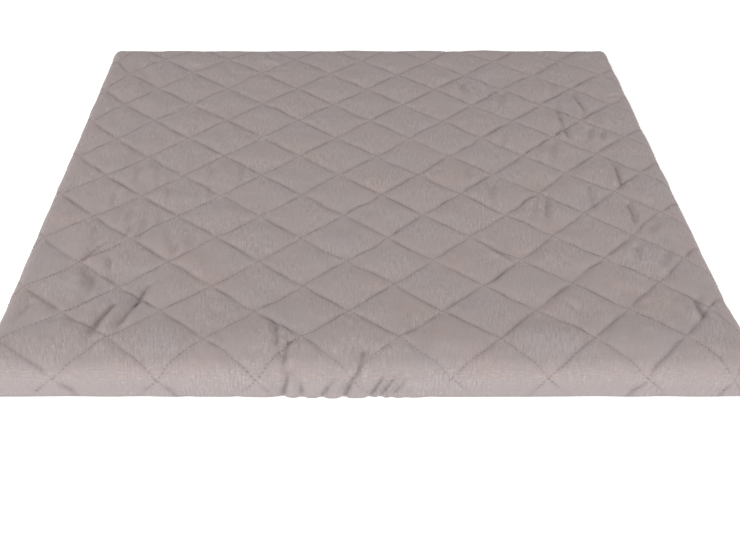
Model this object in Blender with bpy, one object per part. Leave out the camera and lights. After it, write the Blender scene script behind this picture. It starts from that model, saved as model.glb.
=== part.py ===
"""Fitted cover of diamond-quilted cloth: a square top, a rounded fold and a short gathered drop with its hem.

The cloth is one closed body in metres, +Z up. The origin is the middle of the underside of its flat top, X
runs along the width and the front is at -Y. A place on the cloth is told by its flat coordinates p and q, the
same as x and y on the top, and by how far it lies beyond the flat part, measured along the cloth.
"""

from collections import namedtuple
from math import cos, pi, sin

import bpy
import numpy as np

# Sizes, in metres
INSIDE_SIZE = 0.600  # width and depth of the square top that it fits
FOLD_RADIUS = 0.013  # inside radius of the fold over the edge, and of the corners in plan
HEM_DROP = 0.0225  # hem below the underside of the top
MID_CLOTH = 0.0025  # from the inside face to the middle of the cloth
STITCH_THICKNESS = 0.0020  # pressed flat along the stitch lines
PUFF = 0.0035  # rise of each diamond above its stitch lines
PUFF_FULLNESS = 0.5  # a lower power makes a fuller diamond with a sharper stitch line
DROP_PUFF_SHARE = 0.4  # the drop is pulled flatter than the top
EDGE_EASE = 0.030  # the puffs begin to flatten this far before the fold
HEM_THICKNESS = 0.0032  # turned edge
THINNEST = 0.0013

# Quilting: square diamonds, standing on their points
DIAMOND = 0.0753  # across a diamond, corner to corner
QUILT_START = (-0.0263, -0.0033)  # p and q of one crossing of the stitch lines
LEAN = 0.047  # the rows slip this far to the left for each unit of depth
LEAN_FADE = 12  # a higher power keeps the slip nearer to the side borders

# Mesh: six grid lines to a diamond, so that lines and crossings fall on vertices
LINES_PER_DIAMOND = 6
CORNER_COLUMNS = 6
EDGE_ROWS = (0.00325, 0.00965, 0.0161, 0.0225)  # distance along the cloth beyond the flat part
DROP_ROWS = (0.0283, 0.0327)
INSIDE_ROWS = (0.0243, 0.0161, 0.0080)
UNDERSIDE_SPANS = 12

# From halfway round the fold the cloth stands off, waved all round and pleated in front
STANDOFF_START = 0.012
HEM_STANDOFF = 0.0010
WAVE_HEIGHT = 0.0008
WAVES_PER_SIDE = 9
FULL_CENTRE, FULL_WIDTH, FULLNESS = -0.022, 0.095, 0.0014  # where the front hem is fullest

FLAT = INSIDE_SIZE / 2 - FOLD_RADIUS
FOLD_LENGTH = (FOLD_RADIUS + MID_CLOTH) * pi / 2
DROP_LENGTH = HEM_DROP - FOLD_RADIUS
PITCH = DIAMOND / LINES_PER_DIAMOND
MM = 0.001

# Pleats of the front hem, in millimetres along X: where each starts on the fold and where it meets the hem
Pleat = namedtuple("Pleat", "fold_x hem_x depth width")
FRONT_PLEATS = (
    Pleat(-137, -138, 0.6, 9),
    Pleat(-101, -102, 0.8, 8),
    Pleat(-75, -76, 1.1, 7),
    Pleat(-63, -62, 1.7, 7),
    Pleat(-53, -49, 1.5, 6),
    Pleat(-20, -37, 1.6, 6),
    Pleat(-11, -19, 2.3, 7),
    Pleat(14, -1, 1.6, 6),
    Pleat(25, 8, 1.4, 6),
    Pleat(41, 22, 1.0, 7),
    Pleat(57, 47, 0.6, 9),
)

# Creases pressed into the cloth, in millimetres on the opened-out cloth. The front fold is at y -300. A
# negative depth is a ridge
Crease = namedtuple("Crease", "x0 y0 x1 y1 depth width")
CREASES = (
    # Left front corner of the top
    Crease(-239, -130, -249, -153, 0.9, 12),
    Crease(-221, -148, -221, -166, 0.7, 12),
    Crease(-229, -186, -234, -204, 0.9, 14),
    Crease(-182, -192, -196, -243, 1.4, 13),
    Crease(-209, -219, -219, -255, 1.4, 13),
    Crease(-213, -90, -215, -112, 0.8, 12),
    Crease(-225, -66, -230, -93, 0.6, 12),
    Crease(-210, -235, -207, -272, -0.9, 12),
    Crease(-207, -138, -217, -181, -0.7, 13),
    # Middle of the front, running over the fold
    Crease(-72, -218, -76, -237, 1.3, 12),
    Crease(-76, -237, -73, -308, 1.0, 12),
    Crease(-63, -272, -66, -295, 1.2, 12),
    Crease(2, -279, -6, -296, 1.3, 12),
    Crease(-6, -296, -17, -316, 1.4, 12),
    Crease(40, -278, 34, -289, 0.9, 12),
    Crease(46, -255, 43, -268, 0.6, 12),
    Crease(-100, -256, -101, -272, 0.6, 12),
    # Right front of the top
    Crease(248, 19, 246, -47, 1.3, 12),
    Crease(268, -206, 267, -238, 1.2, 12),
    Crease(116, -115, 128, -138, 1.0, 12),
    Crease(101, -121, 108, -137, 0.9, 12),
    Crease(216, -36, 216, -61, 0.6, 12),
    Crease(82, -61, 85, -79, 0.6, 12),
    Crease(246, -83, 245, -98, 0.5, 12),
    Crease(237, -143, 234, -159, 0.5, 12),
    Crease(148, -172, 161, -197, 0.7, 12),
    Crease(180, -201, 193, -217, 0.7, 12),
    Crease(278, -186, 288, -127, -0.7, 12),
    # Right back of the top
    Crease(114, 203, 114, 171, 1.3, 14),
    Crease(150, 164, 144, 119, 0.9, 13),
    Crease(235, 173, 243, 139, 1.3, 12),
    Crease(243, 139, 240, 117, 1.1, 12),
    Crease(215, 149, 211, 117, 1.2, 12),
    Crease(211, 117, 214, 66, 1.2, 12),
    Crease(248, 75, 247, 53, 1.2, 12),
    Crease(147, 80, 143, 53, 0.9, 12),
    Crease(213, 204, 214, 171, 0.6, 12),
    Crease(137, 46, 135, 23, 0.6, 12),
    Crease(101, 11, 101, -16, 0.6, 12),
    # Left back of the top
    Crease(-111, 287, -115, 275, 1.4, 13),
    Crease(-124, 255, -100, 255, -1.0, 16),
    Crease(-107, 232, -92, 227, 1.0, 13),
    Crease(-206, 250, -192, 242, -0.8, 14),
    Crease(-281, 168, -286, 92, 0.9, 14),
)


def clear_scene():
    for item in list(bpy.data.objects):
        bpy.data.objects.remove(item, do_unlink=True)


def quilt_lines(start, per_pitch=1):
    """Grid lines that pass through the stitch crossings, closed off by the two borders of the flat part."""
    step = PITCH / per_pitch
    first = np.ceil((-FLAT + 0.2 * step - start) / step)
    last = np.floor((FLAT - 0.2 * step - start) / step)
    return np.concatenate(([-FLAT], start + step * np.arange(first, last + 1), [FLAT]))


def crease_depth(x, y):
    """Each crease is a soft trough around its line: depth x exp(-(distance / half its width) squared)."""
    total = np.zeros_like(x)
    for crease in CREASES:
        x0, y0, x1, y1, depth, width = (MM * value for value in crease)
        run, rise = x1 - x0, y1 - y0
        along = ((x - x0) * run + (y - y0) * rise) / (run * run + rise * rise)
        along = np.clip(along, 0, 1)
        distance = np.hypot(x - x0 - along * run, y - y0 - along * rise)
        total += depth * np.exp(-((distance / (width / 2)) ** 2))
    return total


def thickness(p, q, x, y, beyond):
    """Stitched thickness, plus a pillow on each diamond, less the creases, and the turned edge at the hem.

    The pillow is |sin pi a| |sin pi b| to the power of its fullness, where a and b count the two sets of
    stitch lines.
    """
    a = (p - QUILT_START[0] + q - QUILT_START[1]) / DIAMOND
    b = (p - QUILT_START[0] - q + QUILT_START[1]) / DIAMOND
    pillow = np.abs(np.sin(pi * a) * np.sin(pi * b)) ** PUFF_FULLNESS
    inside = FLAT - np.maximum(np.abs(p), np.abs(q))
    eased = np.clip((EDGE_EASE - inside) / (EDGE_EASE + FOLD_LENGTH), 0, 1)
    flatten = 1 - (1 - DROP_PUFF_SHARE) * eased
    cloth = STITCH_THICKNESS + PUFF * flatten * pillow - crease_depth(x, y)
    hem = np.clip((beyond - DROP_ROWS[-2]) / (DROP_ROWS[-1] - DROP_ROWS[-2]), 0, 1)
    return np.maximum(THINNEST, cloth * (1 - hem) + HEM_THICKNESS * hem)


def leaned(p, q):
    """x of a place on the flat part: the rows slip sideways with depth, but not at the side borders."""
    return p - LEAN * q * (1 - (p / FLAT) ** LEAN_FADE)


class Columns:
    """Places along the border of the flat part, anticlockwise from the left end of the front, each with the
    direction in which the cloth leaves it. A corner is a fan of directions from one place. The count called
    at grows by one for each side and the corner after it."""

    SIDE_SHARE = 0.9

    def __init__(self, side_lines, corner_columns):
        p, q, angle, at = [], [], [], []
        for side, lines in enumerate(side_lines):
            along = lines if side < 2 else lines[::-1]
            border = -FLAT if side in (0, 3) else FLAT
            fixed = np.full(len(along), border)
            p.append(along if side in (0, 2) else fixed)
            q.append(fixed if side in (0, 2) else along)
            angle.append(np.full(len(along), (side - 1) * pi / 2))
            travelled = np.abs(along - along[0]) / (2 * FLAT)
            at.append(side + self.SIDE_SHARE * travelled)
            fan = np.arange(1, corner_columns) / corner_columns
            p.append(np.full(len(fan), p[-1][-1]))
            q.append(np.full(len(fan), q[-1][-1]))
            angle.append((side - 1 + fan) * pi / 2)
            at.append(side + self.SIDE_SHARE + (1 - self.SIDE_SHARE) * fan)
        self.p, self.q, self.angle, self.at = (np.concatenate(item) for item in (p, q, angle, at))
        self.dx, self.dy = np.cos(self.angle), np.sin(self.angle)


def standoff(columns, x, share):
    """How far the cloth stands off its own place, with share running from 0 on the fold to 1 at the hem: it
    grows with share, waves all round and dips in at each pleat."""
    front = np.where(columns.dy < -0.99, 1.0, 0.0)
    wave = np.sin(2 * pi * WAVES_PER_SIDE * columns.at + 1.3 * np.sin(4 * pi * columns.at))
    full = np.exp(-(((x - FULL_CENTRE) / FULL_WIDTH) ** 2))
    away = HEM_STANDOFF + WAVE_HEIGHT * wave * (1 - 0.6 * front) + FULLNESS * full * front
    for pleat in FRONT_PLEATS:
        centre = MM * (pleat.fold_x + (pleat.hem_x - pleat.fold_x) * share)
        away = away - MM * pleat.depth * np.exp(-(((x - centre) / (MM * pleat.width / 2)) ** 2)) * front
    return share * np.maximum(away, 0)


def wall_row(columns, beyond, raised=1.0):
    """One row around the cover, at a distance beyond the flat part: the inside face, plus raised times the
    thickness along the cloth's normal. On the fold the inside face is a quarter circle."""
    base_x = leaned(columns.p, columns.q)
    p, q = columns.p + columns.dx * beyond, columns.q + columns.dy * beyond
    x, y = base_x + columns.dx * beyond, q
    turn = min(beyond / FOLD_LENGTH, 1) * pi / 2
    hanging = max(beyond - FOLD_LENGTH, 0)
    share = max(beyond - STANDOFF_START, 0) / (FOLD_LENGTH + DROP_LENGTH - STANDOFF_START)
    cloth = thickness(p, q, x, y, beyond)
    out = (FOLD_RADIUS + cloth * raised) * sin(turn) + standoff(columns, base_x, share)
    height = FOLD_RADIUS * (cos(turn) - 1) - hanging + cloth * raised * cos(turn)
    level = np.broadcast_to(height, p.shape)
    places = np.column_stack((base_x + columns.dx * out, columns.q + columns.dy * out, level))
    return places, cloth


class Shell:
    """Vertices and faces as they are added, with each vertex's thickness."""

    def __init__(self):
        self.places, self.cloth, self.faces = [], [], []

    def add(self, places, cloth):
        first = len(self.places)
        self.places.extend(map(tuple, places))
        self.cloth.extend(cloth)
        return list(range(first, len(self.places)))

    def patch(self, a, b, c, d):
        """A four-sided patch, split along its thinner diagonal so that stitch lines stay sharp."""
        if self.cloth[a] + self.cloth[c] <= self.cloth[b] + self.cloth[d]:
            self.faces.extend(((a, b, c), (a, c, d)))
        else:
            self.faces.extend(((a, b, d), (b, c, d)))

    def band(self, upper, lower):
        """Patches between two closed rows with the same columns."""
        for n in range(len(upper)):
            after = (n + 1) % len(upper)
            self.patch(upper[n], lower[n], lower[after], upper[after])

    def zip(self, upper, upper_at, lower, lower_at):
        """Triangles between two closed rows with different columns: whichever row's next place comes first
        moves on."""
        m = n = 0
        while m < len(upper) or n < len(lower):
            next_upper = upper_at[m + 1] if m + 1 < len(upper) else upper_at[0] + 4
            next_lower = lower_at[n + 1] if n + 1 < len(lower) else lower_at[0] + 4
            here = upper[m % len(upper)], lower[n % len(lower)]
            if n == len(lower) or (m < len(upper) and next_upper <= next_lower):
                m += 1
                self.faces.append((here[0], here[1], upper[m % len(upper)]))
            else:
                n += 1
                self.faces.append((here[0], here[1], lower[n % len(lower)]))


def border_of(grid_size):
    """Grid places along the border, in the order of Columns, without repeating the corners."""
    last = grid_size - 1
    run = range(last)
    return (
        [(n, 0) for n in run]
        + [(last, n) for n in run]
        + [(last - n, last) for n in run]
        + [(0, last - n) for n in run]
    )


def border_at(p, q):
    """The count of Columns for border places, with each corner halfway through the fan before its side."""
    at = []
    for x, y in zip(p, q):
        on_side = ((y == -FLAT and x < FLAT), (x == FLAT and y < FLAT), (y == FLAT and x > -FLAT), True)
        side = on_side.index(True)
        travelled = (x + FLAT, y + FLAT, FLAT - x, FLAT - y)[side] / (2 * FLAT)
        if travelled == 0:
            at.append(side - (1 - Columns.SIDE_SHARE) / 2)
        else:
            at.append(side + Columns.SIDE_SHARE * travelled)
    return at


def quilted_cover():
    """The whole cover: the quilted top, the rows of the fold and drop, the hem and the inside face."""
    shell = Shell()
    p_lines, q_lines = quilt_lines(QUILT_START[0]), quilt_lines(QUILT_START[1])
    count = len(p_lines)
    p, q = np.meshgrid(p_lines, q_lines, indexing="ij")
    x = leaned(p, q)
    cloth = thickness(p, q, x, q, 0.0)
    places = np.column_stack((x.ravel(), q.ravel(), cloth.ravel()))
    numbers = np.array(shell.add(places, cloth.ravel())).reshape(p.shape)
    for i in range(count - 1):
        for j in range(len(q_lines) - 1):
            shell.patch(numbers[i, j], numbers[i + 1, j], numbers[i + 1, j + 1], numbers[i, j + 1])

    front_lines = quilt_lines(QUILT_START[0], per_pitch=2)
    columns = Columns((front_lines, q_lines, p_lines, q_lines), CORNER_COLUMNS)
    border = border_of(count)
    top_edge = [int(numbers[place]) for place in border]
    top_at = border_at([p[place] for place in border], [q[place] for place in border])
    above = None
    for beyond in EDGE_ROWS + DROP_ROWS:
        row = shell.add(*wall_row(columns, beyond))
        if above is None:
            shell.zip(top_edge, top_at, row, columns.at)
        else:
            shell.band(above, row)
        above = row

    hem_end = FOLD_LENGTH + DROP_LENGTH
    bottom = shell.add(*wall_row(columns, hem_end, raised=0.5))
    shell.band(above, bottom)
    inside = shell.add(*wall_row(columns, DROP_ROWS[-1], raised=0.0))
    shell.band(bottom, inside)
    for beyond in INSIDE_ROWS:
        row = shell.add(*wall_row(columns, beyond, raised=0.0))
        shell.band(inside, row)
        inside = row

    span = np.linspace(-FLAT, FLAT, UNDERSIDE_SPANS + 1)
    edge = np.array([(span[i], span[j]) for i, j in border_of(UNDERSIDE_SPANS + 1)])
    flat = np.column_stack((edge, np.zeros(len(edge))))
    underside = shell.add(flat, np.zeros(len(edge)))
    shell.zip(inside, columns.at, underside, border_at(edge[:, 0], edge[:, 1]))
    shell.faces.append(tuple(reversed(underside)))
    return shell


def cloth_material():
    material = bpy.data.materials.new("quilted_cloth")
    material.use_nodes = True
    surface = material.node_tree.nodes["Principled BSDF"]
    surface.inputs["Base Color"].default_value = (0.37, 0.31, 0.29, 1)
    surface.inputs["Roughness"].default_value = 0.95
    surface.inputs["Metallic"].default_value = 0.0
    return material


def main():
    clear_scene()
    shell = quilted_cover()
    mesh = bpy.data.meshes.new("quilted_cover")
    mesh.from_pydata(shell.places, [], shell.faces)
    mesh.materials.append(cloth_material())
    mesh.shade_smooth()
    cover = bpy.data.objects.new("quilted_cover", mesh)
    bpy.context.scene.collection.objects.link(cover)


main()
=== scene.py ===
"""Quilted washing machine cover, dressed: its fine cloth, its quilting thread, a pale floor and soft light.

A place on the cloth is told by its flat coordinates p and q, in metres on the opened-out cloth. They are
nearly the same as x and y where the cloth lies flat. The rest of the form is a function of p and q.
"""

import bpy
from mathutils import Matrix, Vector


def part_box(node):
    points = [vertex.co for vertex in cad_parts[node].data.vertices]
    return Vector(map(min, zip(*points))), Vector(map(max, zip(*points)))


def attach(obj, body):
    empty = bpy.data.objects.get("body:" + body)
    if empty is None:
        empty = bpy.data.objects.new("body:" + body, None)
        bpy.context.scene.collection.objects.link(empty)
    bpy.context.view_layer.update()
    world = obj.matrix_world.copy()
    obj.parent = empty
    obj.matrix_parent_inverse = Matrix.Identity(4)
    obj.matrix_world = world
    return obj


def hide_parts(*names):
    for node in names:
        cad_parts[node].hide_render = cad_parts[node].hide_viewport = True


bl_info = {
    "name": "Quilted washing machine cover",
    "version": (1, 0, 0),
    "blender": (4, 5, 0),
    "location": "3D View > Sidebar > Cover",
    "description": "Sews a fitted cover of diamond-quilted cloth and lights it on a pale floor",
    "category": "Add Mesh",
}

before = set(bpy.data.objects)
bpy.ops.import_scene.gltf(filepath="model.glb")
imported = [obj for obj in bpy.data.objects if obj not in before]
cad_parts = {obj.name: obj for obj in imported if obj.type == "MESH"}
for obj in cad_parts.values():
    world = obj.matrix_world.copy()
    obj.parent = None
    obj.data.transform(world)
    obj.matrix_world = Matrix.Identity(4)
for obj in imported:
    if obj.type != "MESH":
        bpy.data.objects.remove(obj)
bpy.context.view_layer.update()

from collections import namedtuple
from math import pi, radians

import bpy
import numpy as np
from bpy.props import FloatProperty, FloatVectorProperty, IntProperty, PointerProperty
from mathutils import Vector

NODE = "quilted_cover"
BODY = "root"
PLACE = "cloth_place"  # the attribute that holds p and q, for patterns that follow the cloth
SEAM_SHADE = "cloth_seam_shade"  # painted shade: 1 in the stitch grooves, where stitches also press the nap, and in deep creases
MM = 0.001
IMAGE_WIDTH = 740  # pixels across the picture, for the lens
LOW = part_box(NODE)[0]
LEAN = 0.047  # how far the rows slip to the left for each unit of depth
STRAY_ROUNDS = 4  # steps in which a place is found that the stitching strays from

# Creases read along the cloth, in millimetres on the opened-out cloth. The front fold is at y -300. Width
# is half the width of the trough. A negative depth is a ridge
Crease = namedtuple("Crease", "x0 y0 x1 y1 depth width")
CREASES = (
    # Left front corner of the top
    Crease(-244, -163, -233, -179, 1.6, 6),
    Crease(-233, -179, -232, -197, 2.2, 5.5),
    Crease(-232, -197, -236, -213, 1.8, 5),
    Crease(-183, -190, -187, -205, 1.8, 3),
    Crease(-187, -205, -192, -224, 2.6, 3),
    Crease(-192, -224, -201, -249, 2.4, 3.5),
    Crease(-207, -219, -214, -237, 2.4, 3.2),
    Crease(-214, -237, -222, -259, 2.4, 3.7),
    Crease(-207, -243, -211, -275, -1.8, 5),
    Crease(-278, -216, -285, -237, 2.0, 3),
    Crease(-211, -95, -218, -117, 1.8, 3),
    Crease(-199, -92, -207, -126, 1.4, 3),
    Crease(-176, -112, -171, -143, 1.6, 4.5),
    Crease(-224, -153, -221, -174, 1.5, 2.2),
    Crease(-250, -157, -239, -136, 2.0, 2.5),
    Crease(-239, -136, -232, -126, 1.6, 2.5),
    Crease(-235, -144, -243, -158, -1.0, 3),
    Crease(-150, 10, -147, -15, 1.0, 4),
    Crease(-213, -142, -215, -163, -1.0, 5),
    Crease(-250, -235, -256, -244, 1.2, 4),
    # Left middle of the top
    Crease(-222, 12, -222, -20, 1.1, 3),
    Crease(-186, -36, -185, -67, 1.2, 3),
    Crease(-152, 8, -150, -29, 1.2, 3.5),
    Crease(-236, -40, -236, -70, 1.1, 3.5),
    Crease(-228, -62, -229, -100, 1.2, 3),
    Crease(-212, -62, -220, -108, 1.1, 3.5),
    Crease(-167, -116, -169, -148, 1.2, 3),
    Crease(-202, 4, -202, -23, 1.0, 3),
    Crease(-187, -78, -188, -104, 1.0, 3),
    Crease(-158, -33, -158, -59, 1.0, 3),
    Crease(-119, 12, -119, -19, 0.9, 3),
    # Middle of the front, running over the fold
    Crease(-77, -238, -73, -255, 1.8, 3),
    Crease(-73, -255, -72, -277, 2.0, 3),
    Crease(-62, -268, -65, -282, 3.0, 2.5),
    Crease(-65, -282, -66, -296, 2.8, 2.5),
    Crease(-59, -263, -62, -280, -1.0, 3),
    Crease(45, -248, 38, -285, 1.2, 6),
    Crease(-4, -279, -6, -290, 2.9, 2.1),
    Crease(-6, -290, -8, -299, 3.2, 2.1),
    Crease(-20, -215, -16, -238, 0.8, 4),
    Crease(-117, -251, -115, -269, 0.8, 4),
    Crease(22, -272, 18, -292, 0.8, 5),
    Crease(-25, -281, -24, -291, 0.8, 4),
    # Right front of the top
    Crease(271, -211, 270, -225, 2.4, 3.5),
    Crease(270, -225, 271, -238, 1.8, 3.5),
    Crease(262, -225, 265, -242, -1.2, 4),
    Crease(240, -133, 237, -155, 1.7, 3.5),
    Crease(265, -139, 258, -163, 1.8, 4),
    Crease(262, -96, 259, -110, 1.9, 5),
    Crease(105, -125, 116, -141, 1.9, 2.5),
    Crease(116, -141, 128, -155, 1.7, 2.5),
    Crease(164, -217, 173, -234, 1.2, 3.5),
    Crease(287, -237, 298, -256, 1.4, 5),
    Crease(216, -157, 216, -181, 1.0, 4),
    Crease(85, -51, 90, -89, 1.1, 3.5),
    Crease(159, -62, 156, -83, 1.2, 3),
    Crease(174, -47, 167, -90, 1.9, 3),
    Crease(217, -29, 216, -47, 1.9, 3),
    Crease(216, -47, 215, -69, 1.9, 3),
    Crease(249, 21, 250, -2, 1.9, 3),
    Crease(250, -2, 249, -30, 2.4, 3),
    Crease(248, -60, 249, -79, 1.9, 3),
    Crease(249, -79, 247, -96, 1.8, 3),
    Crease(122, -25, 119, -65, 1.7, 3.5),
    Crease(104, 10, 101, -20, 1.7, 3.5),
    Crease(239, -160, 246, -178, 1.0, 5),
    # Right back of the top
    Crease(114, 200, 116, 175, 2.1, 4),
    Crease(158, 185, 151, 137, 1.7, 4),
    Crease(218, 199, 214, 166, 1.2, 4),
    Crease(212, 199, 208, 168, -0.8, 4),
    Crease(236, 172, 239, 149, 1.9, 3),
    Crease(239, 149, 242, 132, 2.1, 3),
    Crease(242, 132, 237, 111, 1.8, 3),
    Crease(214, 150, 212, 113, 1.9, 3),
    Crease(212, 113, 214, 85, 1.9, 3),
    Crease(214, 85, 214, 67, 1.9, 3),
    Crease(251, 83, 249, 63, 1.9, 3.5),
    Crease(146, 73, 140, 48, 1.2, 4),
    Crease(242, 93, 233, 60, 1.2, 4),
    Crease(198, 66, 187, 14, 1.6, 4),
    Crease(274, 164, 292, 171, 1.0, 2.5),
    Crease(135, 204, 141, 179, -0.8, 5),
    # Left back of the top
    Crease(-113, 287, -109, 270, 1.2, 3.5),
    Crease(-118, 258, -97, 257, -1.2, 5),
    Crease(-106, 234, -85, 232, 1.0, 4),
    Crease(-285, 179, -278, 160, 1.0, 4),
    Crease(-189, 250, -205, 251, -0.8, 5),
    Crease(-262, 247, -244, 208, 0.7, 5),
    Crease(-160, 246, -150, 219, 0.8, 4),
    # On the front drop
    Crease(-8, -299, -14, -307, 2.8, 2.4),
    Crease(-14, -307, -19, -319, 2.2, 2.8),
    Crease(-23, -302, -32, -311, 1.7, 2.4),
    Crease(-32, -311, -36, -319, 1.8, 2.8),
    Crease(13, -300, 2, -319, 2.6, 2.3),
    Crease(21, -301, 9, -319, 2.8, 2.3),
    Crease(30, -302, 18, -317, 1.9, 2.3),
    Crease(-61, -294, -64, -309, 2.4, 2.8),
    Crease(-64, -309, -67, -319, 2.2, 2.8),
    Crease(-53, -304, -52, -318, 1.1, 2.5),
    Crease(-75, -302, -73, -313, 0.7, 3),
    Crease(-108, -284, -100, -300, 0.7, 4),
)

# Pleats of the front hem, in millimetres along X: where each starts on the fold and where it meets the hem
Pleat = namedtuple("Pleat", "fold_x hem_x depth width")
FRONT_PLEATS = (
    Pleat(-138, -139, 0.6, 5),
    Pleat(-101, -102, 0.8, 4),
    Pleat(-76, -73, 1.0, 3.2),
    Pleat(-61, -67, 3.0, 3.0),
    Pleat(-53, -52, 2.2, 3.0),
    Pleat(-20, -37, 2.5, 3.0),
    Pleat(-8, -20, 3.4, 3.0),
    Pleat(14, 0, 2.8, 2.8),
    Pleat(22, 8, 2.9, 2.6),
    Pleat(31, 17, 1.6, 2.5),
    Pleat(39, 28, 0.8, 3.5),
    Pleat(57, 47, 0.6, 5),
)


class CoverSizes(bpy.types.PropertyGroup):
    """Sizes of the cover and its quilting."""

    inside_size: FloatProperty(
        name="Inside size", description="Width and depth of the square top that it fits",
        default=0.600, min=0.3, unit="LENGTH",
    )
    fold_radius: FloatProperty(
        name="Fold radius", description="Inside radius of the fold over the edge",
        default=0.013, min=0.002, unit="LENGTH",
    )
    hem_drop: FloatProperty(
        name="Drop", description="How far the hem hangs below the underside of the top",
        default=-LOW[2], min=0.0, unit="LENGTH",
    )
    stitched: FloatProperty(
        name="Stitched thickness", description="Cloth thickness along the stitch lines",
        default=0.0020, min=0.0005, unit="LENGTH",
    )
    puff: FloatProperty(
        name="Puff", description="Rise of each diamond above its stitch lines",
        default=0.0030, min=0.0, unit="LENGTH",
    )
    diamond: FloatProperty(
        name="Diamond", description="Size of a quilted diamond, corner to corner",
        default=0.0753, min=0.01, unit="LENGTH",
    )
    lean: FloatProperty(
        name="Lean", description="How far the rows slip to the left for each unit of depth", default=LEAN,
    )
    cells: IntProperty(
        name="Cells per diamond", description="Mesh cells across a diamond", default=30, min=6,
    )


class ThreadSizes(bpy.types.PropertyGroup):
    """The quilting thread."""

    pitch: FloatProperty(
        name="Stitch pitch", description="From one stitch to the next", default=0.0036, unit="LENGTH",
    )
    length: FloatProperty(
        name="Stitch length", description="The part of a stitch that shows", default=0.0027, unit="LENGTH",
    )
    thickness: FloatProperty(
        name="Thread", description="Thickness of the thread", default=0.0006, unit="LENGTH",
    )


class CoverColours(bpy.types.PropertyGroup):
    """Colours of the cloth and thread."""

    # Besides the fibre hollows, this colour is laid on as painted shade along the stitch grooves and in deep
    # creases
    hollow_and_shade: FloatVectorProperty(
        name="Hollows", description="Colour between the fibres and along the stitch lines", subtype="COLOR",
        default=(0.215, 0.176, 0.172),
    )
    warm: FloatVectorProperty(
        name="Warm patches", description="Colour that the cloth turns to in warm patches",
        subtype="COLOR", default=(0.396, 0.323, 0.308),
    )
    # The drops are all this cool colour, as painted sheen
    cool: FloatVectorProperty(
        name="Cool patches", description="Colour that the cloth turns to in cool patches",
        subtype="COLOR", default=(0.379, 0.329, 0.322),
    )
    fleck: FloatVectorProperty(
        name="Flecks", description="Colour of the light fibre ends", subtype="COLOR",
        default=(0.60, 0.55, 0.545),
    )
    thread: FloatVectorProperty(
        name="Thread", description="Colour of the quilting thread", subtype="COLOR",
        default=(0.325, 0.270, 0.265),
    )


class StageSettings(bpy.types.PropertyGroup):
    """Floor, lights and camera."""

    floor: FloatVectorProperty(
        name="Floor", description="Colour of the floor", subtype="COLOR", default=(0.93, 0.93, 0.93),
    )
    side_power: FloatProperty(
        name="Side lights", description="Power of each of the two side lights",
        default=59.0, unit="POWER",
    )
    front_power: FloatProperty(
        name="Front light", description="Power of the low front light", default=25.5, unit="POWER",
    )
    sky: FloatProperty(name="Sky", description="Strength of the even light from all round", default=0.30)
    tilt: FloatProperty(
        name="Camera tilt", description="How far the camera looks down",
        default=radians(35.82), subtype="ANGLE",
    )
    above: FloatProperty(
        name="Camera height", description="Height of the camera above the cloth",
        default=0.5238, unit="LENGTH",
    )


def soft_noise(x, y, cell, seed):
    """Values from -1 to 1 on a square net of random knots a cell apart, blended with 3t^2 - 2t^3."""
    side = 256
    knots = np.random.default_rng(seed).uniform(-1, 1, (side, side))
    u, v = x / cell + side / 2, y / cell + side / 2
    i, j = np.floor(u).astype(int), np.floor(v).astype(int)
    s, t = u - i, v - j
    s, t = s * s * (3 - 2 * s), t * t * (3 - 2 * t)
    i0, i1, j0, j1 = i % side, (i + 1) % side, j % side, (j + 1) % side
    near = knots[i0, j0] * (1 - s) + knots[i1, j0] * s
    far = knots[i0, j1] * (1 - s) + knots[i1, j1] * s
    return near * (1 - t) + far * t


def smooth(value):
    """3t^2 - 2t^3 of the value held between 0 and 1."""
    value = np.clip(value, 0, 1)
    return value * value * (3 - 2 * value)


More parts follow.
